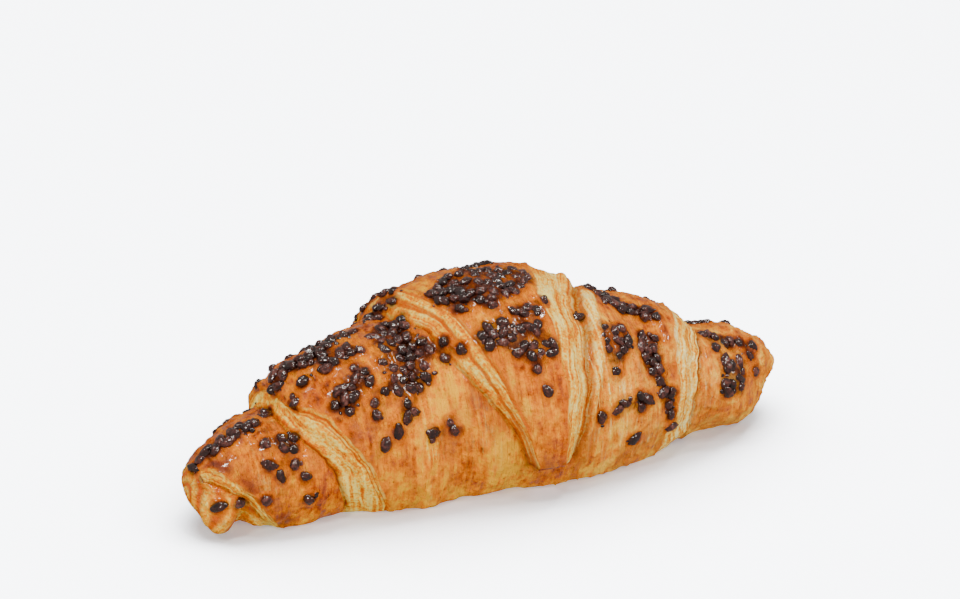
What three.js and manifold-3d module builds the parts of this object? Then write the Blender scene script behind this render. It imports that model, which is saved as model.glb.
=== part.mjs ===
// A straight, rolled butter croissant with chocolate grains baked onto its crust. One solid: the dough roll,
// with the larger grains fused to it. Millimetres, +Z up. The long axis lies along X, the front is -Y and
// the flat base is Z = 0. The dough is one triangle rolled up, so its sheet winds round the roll in turns,
// and its two cut edges run outwards in spirals. The triangle's point is the tongue that ends low on the
// front. Angles run round the roll in degrees: 0 faces the front, 90 is the top, 180 the back, 270 the base.
import * as THREE from "three";
import { mergeVertices } from "three/addons/utils/BufferGeometryUtils.js";
import Module from "manifold-3d";

const wasm = await Module();
wasm.setup();

// The rolled core, by distance along X: its half width, the heights of its top, axis and underside, and how
// far it bends to the back. Where the underside ends up below zero, the roll has a flat base.
const LEFT_LENGTH = 86;
const RIGHT_LENGTH = 82;
const BLUNTNESS = { left: 9, right: 5 }; // a higher power makes a tip blunter
const CORE = {
  halfWidth: [
    [-86, 12.5], [-60, 13], [-42, 14.5], [-24, 17], [0, 19.5], [24, 17.5], [42, 14.2], [60, 13.8],
    [82, 10.5],
  ],
  top: [
    [-86, 20], [-70, 25.3], [-58, 25.2], [-51, 30.3], [-42, 34], [-20, 36.3], [0, 37.7], [24, 36], [42, 29.9],
    [56, 27.3], [70, 26], [82, 21.6],
  ],
  axis: [[-86, 12], [-70, 11.5], [-42, 14], [0, 17], [42, 14], [82, 14]],
  underside: [[-86, 4], [-82, 2], [-77, -2], [-42, -0.5], [0, -1], [42, 2], [60, 1.5], [82, 3.5]],
  back: [[-86, -3], [-60, -0.5], [-40, 3.2], [-20, 4.8], [0, 4.4], [24, 2], [56, -1], [82, -1]],
};

// The sheet's turns, by how far it has been unwound from the tongue's end, in degrees: its thickness, the
// extra height in the middle of its width, where its cut edges lie along X and how wide their slopes are.
const TURN_COUNT = 3;
const THICKNESS = [[0, 4.2], [360, 4.4], [720, 3.2], [1080, 0]];
const CROWN = [[0, 1.6], [360, 1.4], [720, 0], [1080, 0]];
const LEFT_EDGE = {
  place: [
    [0, -1], [25, -5], [58, -15], [86, -20.5], [115, -26], [200, -36], [290, -45], [350, -48.5], [400, -54],
    [440, -60], [490, -62.5], [640, -64.5], [690, -68], [725, -73], [760, -79.5], [810, -86], [900, -91],
    [1080, -99],
  ],
  slope: [
    [0, 1.8], [25, 2.7], [42, 4.7], [55, 6.7], [75, 7.9], [95, 7], [120, 6], [250, 9], [330, 12.5], [380, 9],
    [405, 7], [435, 7.5], [470, 4], [600, 5], [690, 4.5], [1080, 4],
  ],
};
const RIGHT_EDGE = {
  place: [
    [0, 10], [30, 13.5], [58, 17], [83, 18.5], [115, 22.5], [200, 34.5], [290, 45], [350, 49], [400, 50.5],
    [460, 55.5], [600, 65], [700, 78], [800, 88], [1080, 104],
  ],
  slope: [
    [0, 5], [30, 8.5], [100, 12.5], [200, 9], [300, 11], [365, 11], [385, 9], [435, 10.5], [600, 6],
    [1080, 6],
  ],
};
// The step at a cut edge, as the share of its height by the share of its slope.
const EDGE_PROFILE = [[0, 0], [0.1, 0.16], [0.35, 0.36], [0.55, 0.68], [0.85, 0.86], [1, 1]];
const TONGUE_END = { angle: -20, slope: 4.5 };
const TONGUE_RADIUS = 30; // distance from the roll's axis to the tongue's end
// A low ridge of dough that lies just outside the tongue's right edge.
const RIDGE = {
  height: 1.6,
  gap: 0.5,
  width: [[0, 2], [28, 2.4], [50, 3.6], [90, 4.5], [150, 5]],
  end: 150,
  fade: 60,
};

// Broad unevenness of the bake: waves with a height, a length along the roll, a count round it and a phase.
const LUMPS = [
  { height: 0.55, length: 47, round: 1, phase: 0.7 },
  { height: 0.45, length: 31, round: 2, phase: 2.1 },
  { height: 0.4, length: 23, round: 3, phase: 4.4 },
  { height: 0.3, length: 15, round: 2, phase: 1.3 },
];
// Swellings and dents: the middle along X and round the roll, the half extents in millimetres along X and in
// degrees round the roll, and the height.
const SWELLS = [
  [-80, -38, 4.6, 32, 6], // the core's end, which sticks out of the left tip and droops to the floor
  [-73.6, -42, 2.8, 34, -5], // the notch beside it
  [19.8, 93, 2.2, 7, 2.6], // a flake that stands up beside the tongue
  [-1, -36, 6, 16, -1.5], // the hollow under the tongue's end
  [38, -28, 4, 18, -1.5], // and the one where the next turn tucks in
  [-29, -34, 7, 16, -0.8],
];
const TIP_FADE_POWER = 16; // how late the relief fades out towards a tip

// Mesh of the roll.
const STATIONS = 76;
const SIDES = 38;
const STRAIGHT_SHARE = 0.87; // the share of the stations that are evenly spaced, before the blunt tips
const BASE_SPARSENESS = 18; // degrees by which the sides are moved off the flat base, up to the crust

// Groups of chocolate grains: the group's middle along X and round the roll, its half extents in millimetres
// along X and in degrees round the roll, and how many grains it holds. They run from the left tip to the
// right one over the top and front, and the last ones are on the back.
const GRAIN_GROUPS = [
  [-81, 84, 2.4, 8, 4], [-77, 78, 1.8, 5, 3], [-71.5, 76, 4, 8, 9], [-64, 93, 2, 5, 2],
  [-61.8, 46, 2.4, 9, 10], [-66.4, 49, 1.8, 5, 2], [-68, 31, 1.2, 3, 1], [-65.6, 18, 1, 2, 1],
  [-61.5, 24, 1.4, 3, 2], [-59.9, 12, 1.2, 2, 1], [-68.6, -3, 1.4, 3, 2], [-58.3, -10, 1.6, 2, 2],
  [-80.2, -10, 0.6, 2, 1], [-75.6, -8, 0.6, 2, 1], [-53.7, 67, 1.2, 3, 1], [-51.1, 70, 1.2, 3, 1],
  [-54, 93, 3.5, 9, 8], [-48, 84, 3, 6, 6], [-45, 72, 3, 4, 4], [-40.5, 73, 2.5, 5, 3], [-42, 93, 6, 7, 9],
  [-28.5, 56, 6.5, 17, 34], [-29, 80, 6, 10, 10], [-29, 42, 5, 5, 8], [-36.6, 44, 1.6, 3, 3],
  [-42, 55, 2.6, 6, 4], [-46.5, 47, 2.6, 7, 9], [-40.1, 39, 1, 2, 1], [-40.1, 31, 1.2, 2, 2],
  [-32.2, 34, 1, 2, 1], [-31.8, 27, 1.2, 3, 2], [-35.8, 22, 1.4, 2, 2], [-39.7, 17, 1.4, 2, 2],
  [-26.8, 12, 1.2, 3, 2], [-20.4, 14, 1, 4, 2], [-25, 106, 6, 8, 8], [-17.6, 59, 0.8, 2, 1],
  [-18.4, 49, 0.9, 3, 2], [-15.2, 52, 0.6, 2, 1], [-4, 82, 12, 14, 46], [-14, 84, 2.5, 5, 4],
  [-11.7, 68, 1, 2, 1], [-5.1, 64, 1, 2, 1], [3, 59.5, 4.2, 2, 5], [8.7, 66, 0.8, 2, 1],
  [-6.5, 50.5, 3.6, 6, 12], [2.2, 50.5, 3.4, 2.2, 6], [1.2, 41, 5, 3, 8], [-0.3, 32, 1, 2.4, 2],
  [1.6, 25, 0.6, 2, 1], [17.7, 63, 0.5, 2, 1], [28, 86, 3.5, 10, 9], [32, 76, 3.5, 6, 7],
  [38.5, 71, 2.5, 5, 4], [25, 47, 3.4, 10, 14], [34.5, 44, 3.2, 11, 13], [34, 31, 2, 4, 2],
  [23.1, 29, 0.7, 2, 1], [35.5, 18, 1.4, 5, 4], [38.3, 8, 1.6, 8, 6], [39.3, -13, 0.6, 4, 1],
  [29.2, 12, 1.6, 4, 4], [25, 13, 0.8, 3, 1], [22.5, 7, 0.8, 2, 1], [18.1, 4, 0.9, 3, 2],
  [26.7, -12, 0.9, 2, 1], [59, 70, 3, 4, 5], [64, 57, 3, 5, 5], [69, 44, 2.2, 10, 7], [60, 30, 1.6, 8, 6],
  [58, 12, 1.6, 10, 7], [63.5, 26, 1.6, 8, 4], [62.5, 10, 1, 6, 3], [69.4, 14, 0.7, 3, 1],
  [58.3, 51, 0.6, 2, 1], [-50, 130, 8, 18, 12], [-25, 138, 10, 18, 16], [2, 125, 12, 16, 22],
  [8, 152, 10, 10, 6], [30, 125, 8, 18, 14], [45, 118, 5, 14, 6], [65, 114, 6, 15, 8], [-68, 132, 6, 14, 8],
  [-38, 160, 8, 10, 4], [22, 162, 9, 8, 3],
];
// A grain's size, the share of its height that is sunk in the crust, how near its middle may lie to that of
// another and how often a place is looked for.
const GRAIN = { length: [2.6, 4.6], width: [2.3, 2.9], height: [2, 2.5], sunk: 0.45, gap: 2.3, tries: 40 };
const SEED = 20240917;
const FUSED_GRAINS = 120; // the largest ones

const WELD_DISTANCE = 1e-5;

const radians = THREE.MathUtils.degToRad;
const clamp = THREE.MathUtils.clamp;
const mix = THREE.MathUtils.lerp;

// A smooth curve through [position, value] knots.
function through(knots, position) {
  const last = knots.length - 2;
  let i = knots.findIndex((knot, n) => n <= last && position < knots[n + 1][0]);
  if (i < 0) i = last;
  const slope = (n) => {
    const before = knots[Math.max(n - 1, 0)];
    const after = knots[Math.min(n + 1, last + 1)];
    return (after[1] - before[1]) / (after[0] - before[0]);
  };
  const [from, to] = [knots[i], knots[i + 1]];
  const span = to[0] - from[0];
  const t = clamp((position - from[0]) / span, 0, 1);
  const rise = t * t * (3 - 2 * t);
  return mix(from[1], to[1], rise) + span * t * (1 - t) * (slope(i) * (1 - t) - slope(i + 1) * t);
}

// How far the sheet is unwound from the tongue's end at an angle, from 0 to 360.
function unwound(angle) {
  return (((angle - TONGUE_END.angle) % 360) + 360) % 360;
}

function endShare(x) {
  return Math.min(Math.abs(x) / (x < 0 ? LEFT_LENGTH : RIGHT_LENGTH), 1);
}

// The plain core that the outer turns are wound on.
function corePoint(x, angle) {
  const cap = Math.sqrt(1 - endShare(x) ** (x < 0 ? BLUNTNESS.left : BLUNTNESS.right));
  const axis = through(CORE.axis, x);
  const up = Math.sin(radians(angle));
  const reach = up > 0 ? through(CORE.top, x) - axis : axis - through(CORE.underside, x);
  const y = through(CORE.back, x) - through(CORE.halfWidth, x) * cap * Math.cos(radians(angle));
  return new THREE.Vector3(x, y, axis + cap * up * reach);
}

// The core's directions along the roll and outwards.
function coreFrame(x, angle) {
  const step = 0.02;
  const inward = clamp(x, step - LEFT_LENGTH, RIGHT_LENGTH - step);
  const along = corePoint(inward + step / 2, angle).sub(corePoint(inward - step / 2, angle)).normalize();
  const around = corePoint(inward, angle + step).sub(corePoint(inward, angle - step)).normalize();
  return { along, out: along.clone().cross(around).normalize() };
}

function edgeRise(distance, slope) {
  return through(EDGE_PROFILE, clamp(distance / slope, 0, 1));
}

// How far the surface stands off the core.
function relief(x, angle) {
  const turned = unwound(angle);
  let height = 0;
  for (let n = 0; n < TURN_COUNT; n++) {
    const wound = turned + 360 * n;
    const left = through(LEFT_EDGE.place, wound);
    const right = through(RIGHT_EDGE.place, wound);
    let cover = edgeRise(x - left, through(LEFT_EDGE.slope, wound));
    cover *= edgeRise(right - x, through(RIGHT_EDGE.slope, wound));
    if (n === 0) cover *= edgeRise(radians(turned) * TONGUE_RADIUS, TONGUE_END.slope);
    const across = clamp((2 * x - left - right) / (right - left), -1, 1);
    height += cover * (through(THICKNESS, wound) + through(CROWN, wound) * (1 - across ** 2));
  }
  const beyond = (x - through(RIGHT_EDGE.place, turned) - RIDGE.gap) / through(RIDGE.width, turned);
  const present = clamp((RIDGE.end - turned) / RIDGE.fade, 0, 1) * clamp(turned / RIDGE.fade, 0, 1);
  height += RIDGE.height * present * Math.sin(Math.PI * clamp(beyond, 0, 1));
  LUMPS.forEach((lump) => {
    const phase = (2 * Math.PI * x) / lump.length + lump.round * radians(angle) + lump.phase;
    height += lump.height * Math.sin(phase);
  });
  SWELLS.forEach(([middleX, middleAngle, halfX, halfAngle, swell]) => {
    const away = unwound(angle - middleAngle + TONGUE_END.angle + 180) - 180;
    height += swell * Math.exp(-(((x - middleX) / halfX) ** 2) - (away / halfAngle) ** 2);
  });
  return height * (1 - endShare(x) ** TIP_FADE_POWER);
}

function surfacePoint(x, angle) {
  const point = corePoint(x, angle).addScaledVector(coreFrame(x, angle).out, relief(x, angle));
  point.z = Math.max(point.z, 0);
  return point;
}

// Station positions along X: even on the roll and closer together round its blunt ends.
function stationX(share) {
  const length = share < 0 ? LEFT_LENGTH : RIGHT_LENGTH;
  const roundShare = 1 - STRAIGHT_SHARE;
  const straightX = (STRAIGHT_SHARE * length) / (STRAIGHT_SHARE + (roundShare * 2) / Math.PI);
  if (Math.abs(share) <= STRAIGHT_SHARE) return (share / STRAIGHT_SHARE) * straightX;
  const quarter = ((Math.abs(share) - STRAIGHT_SHARE) / roundShare) * (Math.PI / 2);
  return Math.sign(share) * (straightX + (length - straightX) * Math.sin(quarter));
}

function sideAngle(share) {
  return -90 + 360 * share + BASE_SPARSENESS * Math.sin(2 * Math.PI * share);
}

// The stations along one side of the roll. The nearest one is pulled onto each foot and brow of a cut edge.
function stationsAt(angle) {
  const places = Array.from({ length: STATIONS + 1 }, (_, i) => stationX((2 * i) / STATIONS - 1));
  const pulled = places.slice();
  const taken = new Set([0, 1, STATIONS - 1, STATIONS]);
  for (let n = 0; n < TURN_COUNT; n++) {
    const wound = unwound(angle) + 360 * n;
    const [left, right] = [through(LEFT_EDGE.place, wound), through(RIGHT_EDGE.place, wound)];
    const brows = [left + through(LEFT_EDGE.slope, wound), right - through(RIGHT_EDGE.slope, wound)];
    [left, right, ...brows].forEach((target) => {
      const gaps = places.map((x) => Math.abs(x - target));
      const nearest = gaps.indexOf(Math.min(...gaps));
      if (taken.has(nearest)) return;
      taken.add(nearest);
      pulled[nearest] = target;
    });
  }
  return pulled;
}

// The roll's mesh: rings of points from tip to tip. Each four-sided cell is split along the diagonal whose
// ends stand off the core most alike, so that the splits follow the cut edges.
function rollGeometry() {
  const positions = [...surfacePoint(-LEFT_LENGTH, 0)];
  const heights = [0];
  const angles = Array.from({ length: SIDES }, (_, j) => sideAngle(j / SIDES));
  const stations = angles.map(stationsAt);
  for (let i = 1; i < STATIONS; i++) {
    angles.forEach((angle, j) => {
      positions.push(...surfacePoint(stations[j][i], angle));
      heights.push(relief(stations[j][i], angle));
    });
  }
  positions.push(...surfacePoint(RIGHT_LENGTH, 0));
  const index = [];
  const vertex = (i, j) => 1 + (i - 1) * SIDES + (j % SIDES);
  const lastPole = positions.length / 3 - 1;
  for (let j = 0; j < SIDES; j++) {
    index.push(0, vertex(1, j), vertex(1, j + 1));
    index.push(lastPole, vertex(STATIONS - 1, j + 1), vertex(STATIONS - 1, j));
    for (let i = 1; i < STATIONS - 1; i++) {
      const [a, b, c, d] = [vertex(i, j), vertex(i + 1, j), vertex(i + 1, j + 1), vertex(i, j + 1)];
      const splitFromA = Math.abs(heights[a] - heights[c]) < Math.abs(heights[b] - heights[d]);
      index.push(...(splitFromA ? [a, b, c, a, c, d] : [a, b, d, b, c, d]));
    }
  }
  const geometry = new THREE.BufferGeometry();
  geometry.setAttribute("position", new THREE.Float32BufferAttribute(positions, 3));
  geometry.setIndex(index);
  return geometry;
}

// Repeatable random draws from 0 to 1, by a linear congruential generator.
function makeDraw(seed) {
  const [factor, step, range] = [1664525, 1013904223, 2 ** 32];
  let state = seed;
  return () => {
    state = (factor * state + step) % range;
    return state / range;
  };
}

// Places the grains group by group, each clear of the ones before, and returns them with the largest first.
function placeGrains() {
  const draw = makeDraw(SEED);
  const grains = [];
  GRAIN_GROUPS.forEach(([middleX, middleAngle, halfX, halfAngle, count]) => {
    for (let k = 0; k < count; k++) {
      const size = draw();
      const spin = 180 * draw();
      const width = mix(...GRAIN.width, draw());
      for (let n = 0; n < GRAIN.tries; n++) {
        const reach = Math.sqrt(draw());
        const turn = 2 * Math.PI * draw();
        const x = middleX + halfX * reach * Math.cos(turn);
        const angle = middleAngle + halfAngle * reach * Math.sin(turn);
        const place = surfacePoint(x, angle);
        if (grains.some((other) => other.place.distanceTo(place) < GRAIN.gap)) continue;
        const length = mix(...GRAIN.length, size ** 2);
        const height = mix(...GRAIN.height, size);
        grains.push({ x, angle, place, size, spin, length, width, height });
        break;
      }
    }
  });
  return grains.sort((a, b) => b.size - a.size);
}

// A rounded grain lying on the crust and sunk a little into it.
function grainGeometry({ x, angle, place, spin, length, width, height }) {
  const { along, out } = coreFrame(x, angle);
  const shape = new THREE.IcosahedronGeometry(0.5).scale(length, width, height).rotateZ(radians(spin));
  shape.applyMatrix4(new THREE.Matrix4().makeBasis(along, out.clone().cross(along), out));
  const middle = place.clone().addScaledVector(out, height * (0.5 - GRAIN.sunk));
  return shape.translate(middle.x, middle.y, middle.z);
}

function toSolid(geometry) {
  const bare = geometry.clone();
  bare.deleteAttribute("normal");
  bare.deleteAttribute("uv");
  const welded = mergeVertices(bare, WELD_DISTANCE);
  const mesh = new wasm.Mesh({
    numProp: 3,
    vertProperties: new Float32Array(welded.attributes.position.array),
    triVerts: new Uint32Array(welded.index.array),
  });
  return new wasm.Manifold(mesh);
}

function toGeometry(solid) {
  const mesh = solid.getMesh();
  const geometry = new THREE.BufferGeometry();
  geometry.setAttribute("position", new THREE.BufferAttribute(new Float32Array(mesh.vertProperties), 3));
  geometry.setIndex(new THREE.BufferAttribute(new Uint32Array(mesh.triVerts), 1));
  return geometry;
}

const roll = toSolid(rollGeometry());
const grains = placeGrains().slice(0, FUSED_GRAINS).map((grain) => toSolid(grainGeometry(grain)));
const whole = toGeometry(wasm.Manifold.union([roll, ...grains]));

const crust = new THREE.MeshStandardMaterial({ color: 0xc98a3c, roughness: 0.5, metalness: 0 });
const dough = new THREE.Mesh(whole, crust);
dough.name = "croissant";
const croissant = new THREE.Group();
croissant.add(dough);

export default croissant;
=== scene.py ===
# A straight rolled croissant with chocolate grains, dressed over its plain solid. The baked roll and the
# grains are built in millimetres from the same sizes as the solid, with finer relief, and shown in metres.
import math

import bmesh
import bpy
import numpy as np
from mathutils import Euler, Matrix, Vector
from mathutils.kdtree import KDTree


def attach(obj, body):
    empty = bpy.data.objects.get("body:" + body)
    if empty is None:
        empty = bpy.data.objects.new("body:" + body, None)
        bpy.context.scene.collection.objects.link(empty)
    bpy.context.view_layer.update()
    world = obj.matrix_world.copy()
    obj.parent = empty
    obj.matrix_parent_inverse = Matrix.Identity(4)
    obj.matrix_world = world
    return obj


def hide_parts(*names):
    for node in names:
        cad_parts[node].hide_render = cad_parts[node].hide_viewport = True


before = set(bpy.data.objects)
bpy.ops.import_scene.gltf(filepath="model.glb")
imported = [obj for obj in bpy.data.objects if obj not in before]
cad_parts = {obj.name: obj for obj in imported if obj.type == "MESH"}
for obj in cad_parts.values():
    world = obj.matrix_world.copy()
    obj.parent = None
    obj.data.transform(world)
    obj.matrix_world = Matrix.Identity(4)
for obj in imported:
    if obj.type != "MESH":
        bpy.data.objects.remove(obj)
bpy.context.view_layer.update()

MM = 0.001

# The rolled core, by distance along X in millimetres: its half width, the heights of its top, axis and
# underside, and how far it bends to the back.
LEFT_LENGTH = 86
RIGHT_LENGTH = 82
BLUNTNESS = {"left": 9, "right": 5}
CORE = {
    "half_width": [
        (-86, 12.5), (-60, 13), (-42, 14.5), (-24, 17), (0, 19.5), (24, 17.5), (42, 14.2), (60, 13.8),
        (82, 10.5),
    ],
    "top": [
        (-86, 20), (-70, 25.3), (-58, 25.2), (-51, 30.3), (-42, 34), (-20, 36.3), (0, 37.7), (24, 36),
        (42, 29.9), (56, 27.3), (70, 26), (82, 21.6),
    ],
    "axis": [(-86, 12), (-70, 11.5), (-42, 14), (0, 17), (42, 14), (82, 14)],
    "underside": [(-86, 4), (-82, 2), (-77, -2), (-42, -0.5), (0, -1), (42, 2), (60, 1.5), (82, 3.5)],
    "back": [(-86, -3), (-60, -0.5), (-40, 3.2), (-20, 4.8), (0, 4.4), (24, 2), (56, -1), (82, -1)],
}

# The rolled sheet, by how far it is unwound from the tongue's end, in degrees.
TURN_COUNT = 4
THICKNESS = [(0, 4.2), (360, 4.4), (720, 3.2), (1080, 0)]
CROWN = [(0, 1.6), (360, 1.4), (720, 0), (1080, 0)]
LEFT_EDGE = {
    "place": [
        (0, -1), (25, -5), (58, -15), (86, -20.5), (115, -26), (200, -36), (290, -45), (350, -48.5),
        (400, -54), (440, -60), (490, -62.5), (640, -64.5), (690, -68), (725, -73), (760, -79.5),
        (810, -86), (900, -91), (1080, -99),
    ],
    "slope": [
        (0, 1.8), (25, 2.7), (42, 4.7), (55, 6.7), (75, 7.9), (95, 7), (120, 6), (250, 9), (330, 12.5),
        (380, 9), (405, 7), (435, 7.5), (470, 4), (600, 5), (690, 4.5), (1080, 4),
    ],
}
RIGHT_EDGE = {
    "place": [
        (0, 10), (30, 13.5), (58, 17), (83, 18.5), (115, 22.5), (200, 34.5), (290, 45), (350, 49),
        (400, 50.5), (460, 55.5), (600, 65), (700, 78), (800, 88), (1080, 104),
    ],
    "slope": [
        (0, 5), (30, 8.5), (100, 12.5), (200, 9), (300, 11), (365, 11), (385, 9), (435, 10.5), (600, 6),
        (1080, 6),
    ],
}
EDGE_PROFILE = [(0, 0), (0.1, 0.16), (0.35, 0.36), (0.55, 0.68), (0.85, 0.86), (1, 1)]
TONGUE_END = {"angle": -20, "slope": 4.5}
ARC_RADIUS = 30  # millimetres, by which an angle round the roll gives a length
RIDGE = {
    "height": 1.6, "gap": 0.5, "width": [(0, 2), (28, 2.4), (50, 3.6), (90, 4.5), (150, 5)],
    "end": 150, "fade": 60,
}
LUMPS = [  # height, length along the roll, count round it, phase
    (0.55, 47, 1, 0.7), (0.45, 31, 2, 2.1), (0.4, 23, 3, 4.4), (0.3, 15, 2, 1.3),
]
SWELLS = [  # middle along X and round the roll, half extents in millimetres and degrees, height
    (-80, -38, 4.6, 32, 6), (-73.6, -42, 2.8, 34, -5), (19.8, 93, 2.2, 7, 2.6), (-1, -36, 6, 16, -1.5),
    (38, -28, 4, 18, -1.5), (-29, -34, 7, 16, -0.8),
]
TIP_FADE_POWER = 16
FRAME_STEP = 0.02  # millimetres and degrees, over which the core's directions are measured

# Finer relief of the baked dough, in millimetres. A place on a cut edge's slope runs from 0 at its foot to 1
# at its brow. A wander is an amount, the length of its waves and a seed.
RAGGED = [(0.55, 9, 1), (0.3, 2.8, 2)]  # the cut edges' wander
LIP = {"push": 0.55, "place": 0.97, "width": 0.16}  # how an edge's brow leans out over its slope
FACE = {"foot": (-0.08, 0.03), "brow": (0.92, 1.04), "least": 0.02}  # where a slope shows the cut layers
DEPTH_WANDER = (1, 16, 5)  # of the cut layers
EDGE_FADE = (880, 1000)  # the degrees unwound between which the sheet's inner end fades
RIM_WIDTH = 0.07  # of a brow, by its slope
LAYER_LINES = {  # on each turn's left (0) and right (1) slope: place, half width in millimetres, strength
    (0, 0): [
        (0.1, 0.3, 0.7), (0.2, 0.2, 0.4), (0.4, 0.25, 0.9), (0.47, 0.35, 1), (0.55, 0.25, 1),
        (0.6, 0.2, 0.6), (0.96, 0.3, 0.9),
    ],
    (0, 1): [
        (0.14, 0.35, 0.9), (0.22, 0.25, 0.6), (0.36, 0.2, 0.5), (0.5, 0.2, 0.35), (0.66, 0.2, 0.4),
        (0.97, 0.25, 0.6),
    ],
    (1, 0): [(0.02, 0.3, 0.8), (0.12, 0.2, 0.3), (0.78, 0.25, 0.7), (0.85, 0.3, 1), (0.92, 0.2, 0.8)],
    (1, 1): [
        (0.04, 0.35, 1), (0.12, 0.2, 0.8), (0.3, 0.2, 0.5), (0.48, 0.2, 0.6), (0.62, 0.2, 0.4),
        (0.8, 0.2, 0.5), (0.95, 0.25, 0.7),
    ],
    (2, 0): [(0.1, 0.25, 0.9), (0.35, 0.25, 0.7), (0.6, 0.25, 0.8), (0.9, 0.25, 0.7)],
    (2, 1): [(0.1, 0.3, 0.8), (0.5, 0.25, 0.6)],
}
LINE = {"wander": (0.5, 26, 5), "fading": (12, 3), "shown": (-0.7, 0.1)}  # a layer line's course
BUNCH = {"share": 0.6, "spread": 3.5}  # fainter lines beside each layer line
# The groove at each cut edge's foot is sunk into the relief and painted darker as shade.
SHADED_GROOVE = {"width": 0.5, "middle": 0.3, "wider": {(0, 1): 1.5}}  # at an edge's foot, the middle by its width
MARGIN = {"away": 1.4, "width": 1.8, "strength": {(2, 0): 1, (0, 0): 0.25, (1, 1): 0.3}}  # of darker crust
RIDGE_FACE = {"share": 0.9, "power": 0.6}  # how much of the cut layers the ridge shows
# The crack is sunk and painted dark through the groove mark: painted shade.
CRACK = {  # along the tongue's end: degrees unwound, then places along X
    "turned": 5, "width": 2.2, "from": -2, "to": 11, "fade": 1, "wander": (1, 3, 17), "depth": 1.5,
}
SWIRL = {  # the wound layers on the left tip's end
    "after_turn": 2, "start": (0, 0.6),  # how far beyond that turn's left edge it starts
    "offset": (0, -1.4, -1), "pitch": 2.7,  # its middle's, from the core's end
    "tip": (60, 68), "cap": (81.6, 83.4),  # along -X, where it starts and where it hides the cut edges
    "side": (30, 120, 160),  # the angle that it faces, and how far round from there it fades
    "wander": (0.3, 3, 6, 12),  # amount, length on the end, length along X, seed
    "sharpness": 0.7, "shown": (0.7, 4, -0.4, 0.2, 20),  # least share, length, the noise's limits, seed
    "face": (0.2, 0.46),  # least look of the cut layers, and what the layers add
}
MARK_HEIGHTS = {"lines": -0.45, "shaded_groove": -0.5, "rim": 0.16}
CRUST_FORMS = {  # height, length of the noise's features along X and round the roll, seed
    "blisters": (0.5, 3.2, 3.6, 6),
    "small_blisters": (0.26, 1.3, 1.9, 13),
    "wrinkles": (0.3, 1.4, 15, 7),
    "folds": (0.48, 4.5, 38, 9),
    "pleats": (0.4, 3, 17, 18),
    "streaks": (0.4, 1.1, 20, 14),
    "grit": (0.14, 0.9, 1.6, 10),
    "rough_tip": (0.35, 1.6, 2.2, 22),
}
WRINKLED = (16, 14, 8, -0.2, 0.5)  # an area's lengths and seed, and the noise's limits
PLEATED = (12, 16, 19, -0.1, 0.4)
PLEAT_WIDTH = 0.16  # of the noise
FINE_FADE_POWER = 48  # how late towards a tip the finer relief fades
CREASES = [  # place along X at the front, its lean in millimetres a degree, from and to which angle, height
    (-26.8, 0.2, -24, 44, 0.5), (-29.6, 0.22, -30, 14, -0.35), (-36, 0.12, -26, 10, -0.3),
    (14.6, 0.05, -20, 30, 0.4), (22.5, 0.03, -24, 38, -0.4), (26, 0.04, -18, 30, 0.35),
    (-68, 0.2, -10, 60, 0.45), (56.6, 0.14, 30, 76, -0.6),
]
CREASE = {"width": 0.8, "fade": 12, "wander": (0.5, 6, 15)}  # the fade is in degrees
TIP_SHARE = (0.9, 0.98)  # where towards a tip the streaks round the roll fade out
COLLAR = {"distance": 1.7, "width": 0.6, "height": 0.3}  # the glaze's collar round a grain's middle

# The dough's mesh: how many columns of faces lie between the tips and the feet and brows of the cut edges,
# from left to right, and how many rows go round.
COLUMNS = [56, 22, 40, 46, 66, 44, 74, 48, 54, 40, 40, 18, 32]
ROWS = 164
TOP_DENSITY = 18  # degrees by which the rows are moved off the base, up to the crust
BASE_EVEN = (12, 55)  # degrees from the base where the columns stop and start to follow the cut edges
TIP_GAP = 0.5  # millimetres that an edge's columns keep to a tip and to each other

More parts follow.
